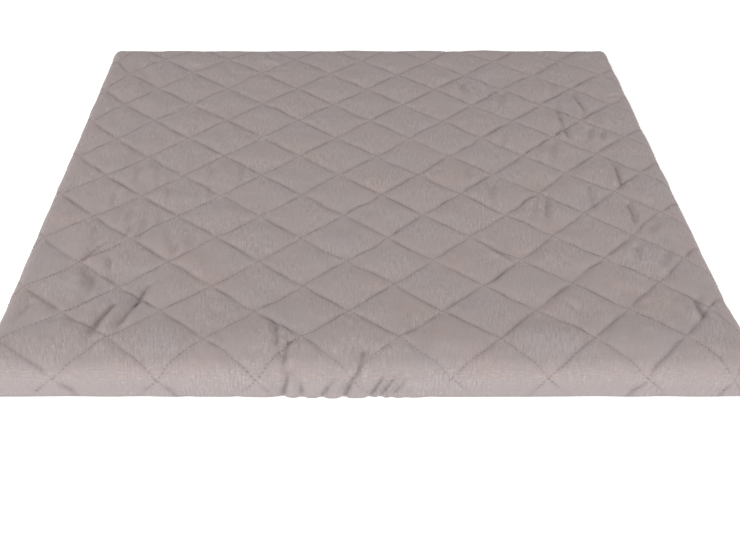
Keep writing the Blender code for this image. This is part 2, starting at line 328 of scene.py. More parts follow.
class CoverShape:
    """The cover's form. Its own sizes are in metres, and every function works on whole arrays."""

    QUILT_START = (-0.0263, -0.0033)  # p and q of one crossing of the stitch lines
    MID_CLOTH = 0.0025  # from the inside face to the middle of the cloth
    THINNEST = 0.0012
    LEAN_FADE = 12  # the power with which the lean ends at the side borders

    # The turned hem, and the length over which the quilting runs out into it
    HEM_THICKNESS = 0.0032
    HEM_ROUND = 0.00115
    HEM_BLEND = 0.005

    # The puffs. Ease is how far before the fold they begin to flatten
    PUFF_FULLNESS = 0.42
    PUFF_HEIGHTS = (0.82, 1.12)
    EDGE_EASE = 0.034
    DROP_PUFF_SHARE = 0.2
    GATHERED_LOSS = 0.5  # share of a puff that is lost where the front hem is gathered
    CROSSING_FILL, CROSSING_WIDTH = 0.22, 0.0055  # the cloth rises where two stitch lines cross
    INSIDE_PUFF = 0.0006  # the stitch lines also draw the inside face up
    EDGE_SINK, SINK_LENGTH = 0.0006, 0.020  # the cloth is pulled thinner just before the fold
    DIP, DIP_BEFORE, DIP_AFTER = 0.0020, 0.014, 0.010  # the cloth slopes down just before the front fold
    SWELL, SWELL_BEFORE, SWELL_WIDTH = 0.0024, 0.018, 0.040  # and swells a little behind that

    # Give in the cloth: heights in millimetres, and the cells of their noise in metres
    RIPPLE, RIPPLE_CELL, RIPPLE_START = 0.75, 0.0085, 4
    SLACK, SLACK_CELL = 1.25, 0.026
    SMALL_SLACK, SMALL_SLACK_CELL = 0.3, 0.011
    FOLDS, FOLDS_CELL, FOLDS_SQUEEZE = 0.95, 0.0085, 0.3
    MIDDLE_FOLDS, LOOSE_FROM, LOOSE_OVER = 0.25, 0.08, 0.12  # fewer folds in the middle than to the sides

    # Creases: the lips beside one, the fade at its ends, and its share where it crosses stitches
    LIPS = 0.6
    CREASE_FADE = 0.3
    STITCHED_CREASE, STITCHED_EDGE = 0.4, 3

    # How far the stitch lines stray from straight, and where their drift ends
    WOBBLE, WOBBLE_CELL = 0.0016, 0.045
    SMALL_WOBBLE, SMALL_WOBBLE_CELL = 0.75, 0.014
    TRUE_EDGE = 0.300

    # The hem's standoff, its waves, its fullness at the middle of the front, and the corners
    STANDOFF_START = 0.006
    HEM_STANDOFF = 0.0010
    WAVE_HEIGHT, WAVE_RATE = 0.0006, 78
    SWAY, SWAY_RATE, SIDE_SHIFT = 1.6, 31, 2.0
    FRONT_CALM, FRONT_FACING = 0.6, -0.99  # calmer waves where the cloth faces straight ahead
    FULL_CENTRE, FULL_WIDTH, FULLNESS = -0.022, 0.080, 0.0022
    GATHER_FROM, GATHER_OVER = 0.268, 0.02  # in front of the middle, where it begins to show in the puffs
    CORNER_PLEATS, CORNER_PLEAT_HEIGHT = 5, 0.0009
    CORNER_POWER = 6  # a corner's outline: 2 is a quarter circle, and a high power is nearly square

    # The painted shade along the stitch lines and in the deep creases
    SEAM_WIDTH = 0.0016
    CROSSING_CLEAR, CROSSING_BLEND = 0.1, 0.5
    SEAM_UNEVEN, SEAM_CELL = 0.4, 0.02
    # Painted shade from the side lights: the stitch lines are darker in the direction that the nearer side
    # light shades, by this share, over this span of p
    PULLED, PULLED_SIDE = 0.35, 0.15
    GATHERED_FADE = 0.75
    CREASE_SHADE, GATHERED_SHADE = 0.55, 0.25
    SHADE_FROM, SHADE_OVER = 1.1 * MM, 1.4 * MM

    def __init__(self, sizes):
        self.flat = sizes.inside_size / 2 - sizes.fold_radius
        self.radius = sizes.fold_radius
        self.fold_length = (sizes.fold_radius + self.MID_CLOTH) * pi / 2
        self.reach = self.fold_length + sizes.hem_drop - sizes.fold_radius
        self.last_row = self.reach - self.HEM_ROUND
        self.stitched, self.puff = sizes.stitched, sizes.puff
        self.diamond, self.lean = sizes.diamond, sizes.lean

    def direction(self, p, q):
        """Distance beyond the flat part and the unit direction in which it is left."""
        over_p = np.sign(p) * np.maximum(np.abs(p) - self.flat, 0)
        over_q = np.sign(q) * np.maximum(np.abs(q) - self.flat, 0)
        beyond = np.hypot(over_p, over_q)
        unit = np.maximum(beyond, 1e-9)
        return beyond, over_p / unit, over_q / unit

    def stray(self, p, q):
        """How far the stitching strays along p and q: small waves, and a broad drift where the cloth is
        pulled out of true. The drift is a few powers of u and w in millimetres, where u and w run from -1
        to 1 across the top, and it ends at the top's edges."""
        u, w = np.clip(p / self.TRUE_EDGE, -1, 1), np.clip(q / self.TRUE_EDGE, -1, 1)
        fade = (1 - u**10) * (1 - w**10) * MM
        drift_p = 1.5 + 1.4 * u - 4.5 * u * u + 4.3 * u * w + 14.5 * u * w * w
        drift_q = -4.6 + 1.7 * u * u - 5.2 * u * w + 9.2 * w * w + 6.3 * u**3 - 6.6 * u * w * w
        small_p = self.SMALL_WOBBLE * soft_noise(p, q, self.SMALL_WOBBLE_CELL, 13)
        small_q = self.SMALL_WOBBLE * soft_noise(p, q, self.SMALL_WOBBLE_CELL, 14)
        waves_p = soft_noise(p, q, self.WOBBLE_CELL, 11) + small_p
        waves_q = soft_noise(p, q, self.WOBBLE_CELL, 12) + small_q
        return self.WOBBLE * waves_p - fade * drift_p, self.WOBBLE * waves_q - fade * drift_q

    def counts(self, p, q):
        """a and b, which count the two sets of stitch lines: whole numbers lie on a line."""
        stray_p, stray_q = self.stray(p, q)
        across = p + stray_p - self.QUILT_START[0]
        along = q + stray_q - self.QUILT_START[1]
        return (across + along) / self.diamond, (across - along) / self.diamond

    def crease_depth(self, x, y):
        """Each crease is depth x (exp(-(d / w)^2) - lips x exp(-((|d| - 2 w) / w)^2)), with d the distance
        to its line and w its width: a trough with low lips. It fades in and out over its ends."""
        total = np.zeros_like(x)
        fade = self.CREASE_FADE
        for crease in CREASES:
            x0, y0, x1, y1, depth, width = (MM * value for value in crease)
            run, rise = x1 - x0, y1 - y0
            length = np.hypot(run, rise)
            along = ((x - x0) * run + (y - y0) * rise) / length**2
            away = np.abs((x - x0) * rise - (y - y0) * run) / length
            ends = smooth((along + fade) / (2 * fade)) * smooth((1 + fade - along) / (2 * fade))
            lips = np.exp(-(((away - 2 * width) / width) ** 2))
            total += depth * ends * (np.exp(-((away / width) ** 2)) - self.LIPS * lips)
        return total

    def thickness(self, p, q):
        """Stitched thickness and a pillow on each diamond: |sin pi a| |sin pi b| to the power of its
        fullness, a little taller or lower than its neighbours, and lower down the drop and where the front
        hem is gathered. The crossings of the stitch lines are filled a little, ripples lie beside the lines,
        and broad slack and narrow folds lie on the pillows. The sink before the fold and the creases are
        taken off, and it all blends into the hem."""
        beyond = self.direction(p, q)[0]
        a, b = self.counts(p, q)
        pillow = np.abs(np.sin(pi * a) * np.sin(pi * b)) ** self.PUFF_FULLNESS
        side = 64
        heights = np.random.default_rng(5).uniform(*self.PUFF_HEIGHTS, (side, side))
        height = heights[np.floor(a).astype(int) % side, np.floor(b).astype(int) % side]
        inside = self.flat - np.maximum(np.abs(p), np.abs(q))
        flatten = 1 - (1 - self.DROP_PUFF_SHARE) * smooth(
            (self.EDGE_EASE - inside) / (self.EDGE_EASE + self.fold_length)
        )
        flatten = flatten * (1 - self.GATHERED_LOSS * self.gathered(p, q))
        to_crossing = np.hypot(a - np.round(a), b - np.round(b)) * self.diamond / np.sqrt(2)
        crossing = self.CROSSING_FILL * np.exp(-((to_crossing / self.CROSSING_WIDTH) ** 2))
        near_line = (1 - pillow) * smooth(pillow * self.RIPPLE_START)
        ripple = self.RIPPLE * soft_noise(p, q, self.RIPPLE_CELL, 21) * near_line
        slack = self.SLACK * soft_noise(p, q, self.SLACK_CELL, 22)
        slack = slack + self.SMALL_SLACK * soft_noise(p, q, self.SMALL_SLACK_CELL, 23)
        to_side = smooth((np.abs(p) - self.LOOSE_FROM) / self.LOOSE_OVER)
        loose = self.MIDDLE_FOLDS + (1 - self.MIDDLE_FOLDS) * to_side
        folds = self.FOLDS * loose * soft_noise(p, q * self.FOLDS_SQUEEZE, self.FOLDS_CELL, 24)
        sunk = self.EDGE_SINK * smooth((self.SINK_LENGTH - inside) / self.SINK_LENGTH)
        cloth = self.stitched + self.puff * flatten * (height * pillow + crossing) - sunk
        cloth = cloth + MM * (ripple + (slack + folds) * pillow * flatten)
        held = self.STITCHED_CREASE + (1 - self.STITCHED_CREASE) * smooth(pillow * self.STITCHED_EDGE)
        cloth = cloth - self.crease_depth(self.leaned(p, q), q) * held
        hem = smooth((beyond - self.last_row + self.HEM_BLEND) / self.HEM_BLEND)
        return np.maximum(self.THINNEST, cloth * (1 - hem) + self.HEM_THICKNESS * hem)

    def leaned(self, p, q):
        """x of a place: the rows slip sideways with depth, but not at the side borders."""
        base_p, base_q = np.clip(p, -self.flat, self.flat), np.clip(q, -self.flat, self.flat)
        return p - self.lean * base_q * (1 - (base_p / self.flat) ** self.LEAN_FADE)

    def standoff(self, p, q, beyond, to_x, to_y):
        """How far the cloth stands off its own place: it grows from the start of the fold to the hem, waves
        all round, is full over the middle of the front, dips in at each pleat there, and is pleated in a fan
        at the corners."""
        share = np.clip((beyond - self.STANDOFF_START) / (self.reach - self.STANDOFF_START), 0, 1)
        base_p, base_q = np.clip(p, -self.flat, self.flat), np.clip(q, -self.flat, self.flat)
        run = np.where(np.abs(to_y) > np.abs(to_x), base_p, base_q)
        front = np.where(to_y < self.FRONT_FACING, 1.0, 0.0)
        sway = self.SWAY * np.sin(run * self.SWAY_RATE)
        wave = np.sin(run * self.WAVE_RATE + sway + self.SIDE_SHIFT * to_x)
        x = self.leaned(base_p, base_q)
        full = np.exp(-(((x - self.FULL_CENTRE) / self.FULL_WIDTH) ** 2))
        away = self.HEM_STANDOFF + self.WAVE_HEIGHT * wave * (1 - self.FRONT_CALM * front)
        away = away + self.FULLNESS * full * front
        for pleat in FRONT_PLEATS:
            centre = MM * (pleat.fold_x + (pleat.hem_x - pleat.fold_x) * share)
            away = away - MM * pleat.depth * np.exp(-(((x - centre) / (MM * pleat.width)) ** 2)) * front
        corner = np.minimum(np.abs(to_x), np.abs(to_y)) > 1e-6
        fan = 0.5 - 0.5 * np.cos(4 * self.CORNER_PLEATS * np.arctan2(np.abs(to_y), np.abs(to_x)))
        away = np.where(corner, away + self.CORNER_PLEAT_HEIGHT * fan, away)
        return share * np.maximum(away, 0)

    def gathered(self, p, q):
        """1 where the front hem is drawn in, over the middle of the front fold, and 0 away from it."""
        x = self.leaned(p, q)
        ahead = smooth((-q - self.GATHER_FROM) / self.GATHER_OVER)
        return np.exp(-(((x - self.FULL_CENTRE) / self.FULL_WIDTH) ** 2)) * ahead

    def front_rise(self, q, beyond):
        """How far the cloth stands above its plane towards the front: a low swell, then a dip over the start
        of the front fold. Both fade out down to the hem."""
        past = -q - self.flat
        down = smooth((past + self.DIP_BEFORE) / (self.DIP_BEFORE + self.DIP_AFTER))
        up = smooth((beyond - self.DIP_AFTER) / (self.last_row - self.DIP_AFTER))
        swell = np.exp(-(((past + self.SWELL_BEFORE) / self.SWELL_WIDTH) ** 2))
        return (self.SWELL * swell - self.DIP * down) * (1 - up)

    def place(self, p, q, raised=1.0, lift=0.0):
        """Points in space: the inside face, a quarter circle on the fold and straight down below it, plus
        raised times the thickness and the lift along the cloth's normal, and the rise before the front fold.
        A corner's outline is stretched from a quarter circle to |x|^n + |y|^n = 1, with n its power."""
        beyond, to_x, to_y = self.direction(p, q)
        turn = np.minimum(beyond / self.fold_length, 1) * pi / 2
        hanging = np.maximum(beyond - self.fold_length, 0)
        rise = self.thickness(p, q) * raised + lift
        out = (self.radius + rise) * np.sin(turn) + self.standoff(p, q, beyond, to_x, to_y)
        squared = np.abs(to_x) ** self.CORNER_POWER + np.abs(to_y) ** self.CORNER_POWER
        out = out / np.maximum(squared, 1e-6) ** (1 / self.CORNER_POWER)
        base_p, base_q = np.clip(p, -self.flat, self.flat), np.clip(q, -self.flat, self.flat)
        x = self.leaned(base_p, base_q) + to_x * out
        z = self.radius * (np.cos(turn) - 1) - hanging + rise * np.cos(turn) + self.front_rise(q, beyond)
        return np.stack((x, base_q + to_y * out, z), axis=-1)

    def seam(self, p, q):
        """Painted shade: 1 on a stitch line and 0 beside it, for the shade in its groove, where stitches
        also press the nap down. It is less near the crossings and uneven along the line, most on the lines
        that run out towards the nearer front corner, which the nearer side light shades most, and partly
        there in a crease.
        Where the front hem is gathered, the stitch lines fade and creases get darker painted shade."""
        a, b = self.counts(p, q)
        drawn_in = self.gathered(p, q)
        depth = self.crease_depth(self.leaned(p, q), q)
        # Painted shade in the deep creases, more where the front hem is gathered
        shade = (self.CREASE_SHADE + self.GATHERED_SHADE * drawn_in) * smooth(
            (depth - self.SHADE_FROM) / self.SHADE_OVER
        )
        for count, other, seed, outward in ((a, b, 31, -1), (b, a, 32, 1)):
            away = np.abs(count - np.round(count)) * self.diamond / np.sqrt(2)
            along = smooth((np.abs(np.sin(pi * other)) - self.CROSSING_CLEAR) / self.CROSSING_BLEND)
            uneven = 1 - self.SEAM_UNEVEN + self.SEAM_UNEVEN * soft_noise(p, q, self.SEAM_CELL, seed)
            # painted shade: each set of lines is stronger on the side of the cloth where the nearer side
            # light shades it
            side_light_weight = 1 - self.PULLED + self.PULLED * np.clip(outward * p / self.PULLED_SIDE, -1, 1)
            side_light_weight = side_light_weight * (1 - self.GATHERED_FADE * drawn_in)
            shade = np.maximum(shade, np.exp(-((away / self.SEAM_WIDTH) ** 2)) * along * uneven * side_light_weight)
        return shade

    def inside_lift(self, p, q):
        """The inside face is drawn up along the stitch lines and lies flat under each diamond."""
        a, b = self.counts(p, q)
        beyond = self.direction(p, q)[0]
        pillow = np.abs(np.sin(pi * a) * np.sin(pi * b)) ** self.PUFF_FULLNESS
        return self.INSIDE_PUFF * (1 - pillow) * (1 - smooth(beyond / self.last_row))


def sheet_lines(shape, start, cells):
    """Grid lines across the opened-out cloth: through the stitch crossings on the flat part, evenly spaced
    beyond it, and a multiple of three cells in all."""
    step = shape.diamond / cells
    least = 0.3  # the narrowest cell beside the fold, in steps
    first = np.ceil((-shape.flat + least * step - start) / step)
    last = np.floor((shape.flat - least * step - start) / step)
    flat = np.concatenate(([-shape.flat], start + step * np.arange(first, last + 1), [shape.flat]))
    beyond = int(np.ceil(shape.last_row / step))
    spare = -(len(flat) - 1 + 2 * beyond) % 3
    before = -shape.flat - shape.last_row * np.arange(beyond, 0, -1) / beyond
    after = shape.flat + shape.last_row * np.arange(1, beyond + spare + 1) / (beyond + spare)
    return np.concatenate((before, flat, after))


def cloth_grid(shape, s_lines, t_lines):
    """p and q of a square grid. Past a corner of the flat part, the square of distances (a, b) becomes a
    quarter disc: distance max(a, b), at an angle of (1 + (b - a) / max(a, b)) pi / 4. The grid then follows
    the stray of the stitching, less and less towards the hem."""
    s, t = np.meshgrid(s_lines, t_lines, indexing="ij")
    a, b = np.abs(s) - shape.flat, np.abs(t) - shape.flat
    corner = (a > 0) & (b > 0)
    reach = np.maximum(np.maximum(a, b), 1e-9)
    angle = (1 + (b - a) / reach) * pi / 4
    p = np.where(corner, np.sign(s) * (shape.flat + reach * np.cos(angle)), s)
    q = np.where(corner, np.sign(t) * (shape.flat + reach * np.sin(angle)), t)
    follow = 1 - smooth(shape.direction(p, q)[0] / shape.last_row)
    moved_p, moved_q = p, q
    for _ in range(STRAY_ROUNDS):
        stray_p, stray_q = shape.stray(moved_p, moved_q)
        moved_p, moved_q = p - stray_p * follow, q - stray_q * follow
    return moved_p, moved_q


def border(numbers):
    """Vertex numbers along a grid's border, anticlockwise from its first corner."""
    return np.concatenate((numbers[:-1, 0], numbers[-1, :-1], numbers[:0:-1, -1], numbers[0, :0:-1]))


def grid_quads(numbers):
    """Four vertex numbers for each cell, anticlockwise seen from above."""
    return np.stack(
        (numbers[:-1, :-1], numbers[1:, :-1], numbers[1:, 1:], numbers[:-1, 1:]), axis=-1
    ).reshape(-1, 4)


def split_quads(quads, height):
    """Each quad becomes two triangles along its lower diagonal, so that stitch lines stay sharp."""
    a, b, c, d = quads.T
    low = (height[a] + height[c] <= height[b] + height[d])[:, None]
    first = np.where(low, np.stack((a, b, c), -1), np.stack((a, b, d), -1))
    second = np.where(low, np.stack((a, c, d), -1), np.stack((b, c, d), -1))
    return np.concatenate((first, second))


def new_mesh_object(name, points, faces, material):
    """A smooth object at the origin, with its place in its mesh."""
    mesh = bpy.data.meshes.new(name)
    mesh.from_pydata(points.tolist(), [], faces)
    mesh.materials.append(material)
    mesh.shade_smooth()
    item = bpy.data.objects.new(name, mesh)
    bpy.context.scene.collection.objects.link(item)
    return item


def store_places(mesh, shape, p, q, outside):
    """Keeps p, q and the painted seam shade on each vertex, for the patterns of the cloth. The first points,
    as many as outside, are those of the outside face and the hem. The inside face has no painted seam shade."""
    values = np.stack((p, q, np.zeros_like(p)), axis=-1)
    mesh.attributes.new(PLACE, "FLOAT_VECTOR", "POINT").data.foreach_set("vector", values.ravel())
    shade = shape.seam(p, q)
    shade[outside:] = 0
    mesh.attributes.new(SEAM_SHADE, "FLOAT", "POINT").data.foreach_set("value", shade)


def store_charts(mesh, shape, p, q, first_inside):
    """A UV map of two squares side by side: the outside face large, the inside face small."""
    loops = np.empty(len(mesh.loops), int)
    mesh.loops.foreach_get("vertex_index", loops)
    sizes = np.empty(len(mesh.polygons), int)
    mesh.polygons.foreach_get("loop_total", sizes)
    inside = np.repeat(np.arange(len(sizes)) >= first_inside, sizes)
    big, small, gap = 0.72, 0.25, 0.01
    half = shape.flat + shape.reach
    u = (p[loops] / half + 1) / 2
    v = (q[loops] / half + 1) / 2
    u = np.where(inside, big + 2 * gap + u * small, gap + u * big)
    v = np.where(inside, gap + v * small, gap + v * big)
    layer = mesh.uv_layers.new(name="UVMap")
    layer.uv.foreach_set("vector", np.stack((u, v), -1).astype(np.float32).ravel())


def sew_cloth(shape, cells, material):
    """The quilted cloth as one closed shell: a fine outside face, a rounded hem and a coarser inside face
    that takes every third grid line of the outside."""
    s_lines = sheet_lines(shape, shape.QUILT_START[0], cells)
    t_lines = sheet_lines(shape, shape.QUILT_START[1], cells)
    p, q = cloth_grid(shape, s_lines, t_lines)
    numbers = np.arange(p.size).reshape(p.shape)
    points, all_p, all_q = [shape.place(p, q).reshape(-1, 3)], [p.ravel()], [q.ravel()]
    faces = split_quads(grid_quads(numbers), shape.thickness(p, q).ravel()).tolist()

    edge = border(numbers)
    edge_p, edge_q = p.ravel()[edge], q.ravel()[edge]
    beyond, to_x, to_y = shape.direction(edge_p, edge_q)
    above, count = edge, p.size
    for around in (pi / 4, pi / 2, 3 * pi / 4):
        further = shape.HEM_ROUND * np.sin(around)
        row_p, row_q = edge_p + to_x * further, edge_q + to_y * further
        points.append(shape.place(row_p, row_q, raised=0.5 + 0.5 * np.cos(around)))
        all_p.append(row_p)
        all_q.append(row_q)
        row = count + np.arange(len(edge))
        count += len(edge)
        faces += np.stack((above, row, np.roll(row, -1), np.roll(above, -1)), -1).tolist()
        above = row

    p, q = p[::3, ::3], q[::3, ::3]
    inner = count + np.arange(p.size).reshape(p.shape)
    points.append(shape.place(p, q, raised=0.0, lift=shape.inside_lift(p, q)).reshape(-1, 3))
    all_p.append(p.ravel())
    all_q.append(q.ravel())
    inner_edge = border(inner)
    after, inner_after = np.roll(above, -3), np.roll(inner_edge, -1)
    faces += np.stack(
        (above[::3], inner_edge, inner_after, after[::3], above[2::3], above[1::3]), -1
    ).tolist()
    first_inside = len(faces)
    faces += grid_quads(inner)[:, ::-1].tolist()

    cloth = new_mesh_object("cover_cloth", np.concatenate(points), faces, material)
    all_p, all_q = np.concatenate(all_p), np.concatenate(all_q)
    store_places(cloth.data, shape, all_p, all_q, count)
    store_charts(cloth.data, shape, all_p, all_q, first_inside)
    return cloth


def stitch_places(shape, pitch):
    """The middle of each stitch and its direction, in p and q. Lines of whole a run down to the right and
    lines of whole b up to the right, each cut off a little before the hem."""
    most, half_length, hem_clear = 12, 0.5, 0.004
    lines = np.arange(-most, most + 1)
    steps = np.arange(-half_length, half_length, pitch)
    line, step = (item.ravel() for item in np.meshgrid(lines, steps, indexing="ij"))
    half = line * shape.diamond / 2
    ideal, heading = [], []
    for slope in (-1, 1):
        ideal.append(
            np.stack(
                (
                    shape.QUILT_START[0] + half + step / np.sqrt(2),
                    shape.QUILT_START[1] - slope * half + slope * step / np.sqrt(2),
                ),
                -1,
            )
        )
        heading.append(np.tile(np.array((1, slope)) / np.sqrt(2), (len(line), 1)))
    ideal, heading = np.concatenate(ideal), np.concatenate(heading)
    found = ideal
    for _ in range(STRAY_ROUNDS):
        found = ideal - np.stack(shape.stray(found[:, 0], found[:, 1]), -1)
    beyond = shape.direction(found[:, 0], found[:, 1])[0]
    kept = beyond < shape.last_row - hem_clear
    return found[kept], heading[kept]


def sew_thread(shape, sizes, material):
    """Each stitch is a short bar of diamond section: four rings of four points, its two ends sunk into the
    cloth and its middle arched a little above it."""
    middle, heading = stitch_places(shape, sizes.pitch)
    shortest, longest = 0.85, 1.1
    jitter = np.random.default_rng(8).uniform(shortest, longest, len(middle))
    along = np.array((-0.5, -0.22, 0.22, 0.5)) * sizes.length
    lift = np.array((-0.6, 0.32, 0.32, -0.6)) * sizes.thickness
    spread = np.array((0.5, 1.0, 1.0, 0.5)) * sizes.thickness / 2
    across = np.stack((-heading[:, 1], heading[:, 0]), -1)
    rings = []
    for ring in range(4):
        centre = middle + heading * (along[ring] * jitter)[:, None]
        for side, up in ((1, 0), (0, 1), (-1, 0), (0, -1)):
            flat = centre + across * (side * spread[ring])
            rise = np.full(len(flat), lift[ring] + up * spread[ring])
            base = shape.place(centre[:, 0], centre[:, 1], lift=rise)
            shifted = shape.place(flat[:, 0], flat[:, 1], raised=0.0) - shape.place(
                centre[:, 0], centre[:, 1], raised=0.0
            )
            rings.append(base + shifted)
    points = np.stack(rings, axis=1).reshape(-1, 3)
    corner = np.arange(16).reshape(4, 4)
    sides = np.stack((corner[:-1], np.roll(corner, -1, 1)[:-1], np.roll(corner, -1, 1)[1:], corner[1:]), -1)
    one = np.concatenate((sides.reshape(-1, 4), corner[:1, ::-1], corner[-1:]))
    faces = (one[None] + 16 * np.arange(len(middle))[:, None, None]).reshape(-1, 4).tolist()
    return new_mesh_object("quilting_thread", points, faces, material)


def noise(tree, vector, scale, detail=2.0, roughness=0.5):
    """Soft noise of so many knots a unit, with finer noise of each next octave in it."""
    node = tree.nodes.new("ShaderNodeTexNoise")
    node.inputs["Scale"].default_value = scale
    node.inputs["Detail"].default_value = detail
    node.inputs["Roughness"].default_value = roughness
    tree.links.new(vector, node.inputs["Vector"])
    return node.outputs["Fac"]


def stretched(tree, vector, scale):
    """The vector times a scale for each axis."""
    node = tree.nodes.new("ShaderNodeVectorMath")
    node.operation = "MULTIPLY"
    node.inputs[1].default_value = scale
    tree.links.new(vector, node.inputs[0])
    return node.outputs[0]


def remapped(tree, value, low, high, to_low=0.0, to_high=1.0):
    """The value's range from low to high laid on another range, and held inside it."""
    node = tree.nodes.new("ShaderNodeMapRange")
    node.inputs["From Min"].default_value = low
    node.inputs["From Max"].default_value = high
    node.inputs["To Min"].default_value = to_low
    node.inputs["To Max"].default_value = to_high
    tree.links.new(value, node.inputs["Value"])
    return node.outputs[0]


def maths(tree, operation, first, second=None):
    """One Math node on one or two outputs."""
    node = tree.nodes.new("ShaderNodeMath")
    node.operation = operation
    tree.links.new(first, node.inputs[0])
    if second is not None:
        tree.links.new(second, node.inputs[1])
    return node.outputs[0]


def product(tree, first, second):
    return maths(tree, "MULTIPLY", first, second)


def weakened(tree, mask, most):
    """A mask from 0 to 1 brought down to the range from 0 to most."""
    return remapped(tree, mask, 0.0, 1.0, to_high=most)


def sum_of(tree, *terms, add=0.0):
    """The weighted sum of (value, weight) pairs, plus a number."""
    total = None
    for value, weight in terms:
        node = tree.nodes.new("ShaderNodeMath")
        node.operation = "MULTIPLY_ADD"
        tree.links.new(value, node.inputs[0])
        node.inputs[1].default_value = weight
        if total is not None:
            tree.links.new(total, node.inputs[2])
        else:
            node.inputs[2].default_value = add
        total = node.outputs[0]
    return total


def mixed(tree, factor, first, second):
    """A colour mix. Each of first and second is a colour or an output."""
    node = tree.nodes.new("ShaderNodeMix")
    node.data_type = "RGBA"
    tree.links.new(factor, node.inputs["Factor"])
    for socket, value in ((node.inputs[6], first), (node.inputs[7], second)):
        if isinstance(value, bpy.types.NodeSocket):
            tree.links.new(value, socket)
        else:
            socket.default_value = (*value, 1)
    return node.outputs[2]


# The nap's noises, in knots a metre: across the cloth, along its depth and through it
STREAK_SCALE = (500.0, 95.0, 500.0)
THREAD_SCALE = (1500.0, 260.0, 1500.0)
FIBRE_SCALE = (760.0, 330.0, 760.0)
WEAR_SCALE = (150.0, 1000.0, 150.0)
GRAIN_SCALE = 900.0
RAISED_SCALE = 24.0
PATCH_SCALE = 17.0
FAN_REACH = 1.29  # the streaks would all meet this far in front of the middle of the cloth
WEAR_STARTS, WEAR_FULL = -0.289, -0.299  # along Y, before the front fold
WEAR_WANES, WEAR_ENDS = -0.303, -0.311  # along Y, past it
TOP_ENDS, DROP_STARTS = 0.303, 0.311  # from the middle, across the fold


def combed(tree, across, along):
    """The way the nap lies: a slight fan that opens towards the back. Its coordinates are (x - lean y)
    divided by (1 + y / reach), which is the same all along a streak, and y."""
    level = sum_of(tree, (across, 1.0), (along, -LEAN))
    spread = maths(tree, "DIVIDE", level, sum_of(tree, (along, 1 / FAN_REACH), add=1.0))
    node = tree.nodes.new("ShaderNodeCombineXYZ")
    tree.links.new(spread, node.inputs["X"])
    tree.links.new(along, node.inputs["Y"])
    return node.outputs[0]


def nap_group():
    """Short raised nap on an open weave: streaks along its fan, stronger in places, light fibre ends in the
    same places, soft patches of colour on the top that leave the drops cool, a painted sheen on them, and
    worn threads across the cloth on the front fold."""
    group = bpy.data.node_groups.new("Short nap", "ShaderNodeTree")
    group.interface.new_socket("Place", in_out="INPUT", socket_type="NodeSocketVector")
    for name in ("Streaks", "Fibre ends", "Patches", "Fold wear", "Height"):
        group.interface.new_socket(name, in_out="OUTPUT", socket_type="NodeSocketFloat")
    place = group.nodes.new("NodeGroupInput").outputs["Place"]
    end = group.nodes.new("NodeGroupOutput")
    flat = group.nodes.new("ShaderNodeSeparateXYZ")
    group.links.new(place, flat.inputs[0])
    across, along = flat.outputs["X"], flat.outputs["Y"]
    lay = combed(group, across, along)

    places = noise(group, place, RAISED_SCALE, roughness=0.6)
    raised = remapped(group, places, 0.4, 0.62, to_low=0.25)
    streaks = noise(group, stretched(group, lay, STREAK_SCALE), 1.0, roughness=0.6)
    threads = noise(group, stretched(group, lay, THREAD_SCALE), 1.0, detail=1.0)
    grain = noise(group, place, GRAIN_SCALE, roughness=0.6)
    ends = noise(group, stretched(group, lay, FIBRE_SCALE), 1.0, detail=1.0)
    worn = noise(group, stretched(group, place, WEAR_SCALE), 1.0, roughness=0.6)
    patches = noise(group, place, PATCH_SCALE, detail=3.0, roughness=0.55)

    past = remapped(group, along, WEAR_ENDS, WEAR_WANES)
    before = remapped(group, along, WEAR_STARTS, WEAR_FULL)
    outermost = maths(group, "MAXIMUM", maths(group, "ABSOLUTE", across), maths(group, "ABSOLUTE", along))
    # Painted sheen: the drops get no patches, so they take the cool colour that stands in for the whitening
    # sheen on them
    top = remapped(group, outermost, TOP_ENDS, DROP_STARTS, to_low=1.0, to_high=0.0)
    contrast = product(group, sum_of(group, (streaks, 1.0), add=-0.5), raised)
    results = {
        "Streaks": remapped(group, contrast, -0.2, 0.2),
        "Fibre ends": product(group, remapped(group, ends, 0.6, 0.72), raised),
        "Patches": product(group, patches, top),
        "Fold wear": product(group, remapped(group, worn, 0.52, 0.66), product(group, past, before)),
        "Height": sum_of(group, (streaks, 0.5), (threads, 0.2), (grain, 0.4)),
    }
    for name, result in results.items():
        group.links.new(result, end.inputs[name])
    return group


def surface_of(material):
    """The material's node tree and its surface shader."""
    material.use_nodes = True
    return material.node_tree, material.node_tree.nodes["Principled BSDF"]


def attribute(tree, name, output):
    """What the mesh keeps on its vertices under a name."""
    node = tree.nodes.new("ShaderNodeAttribute")
    node.attribute_name = name
    return node.outputs[output]


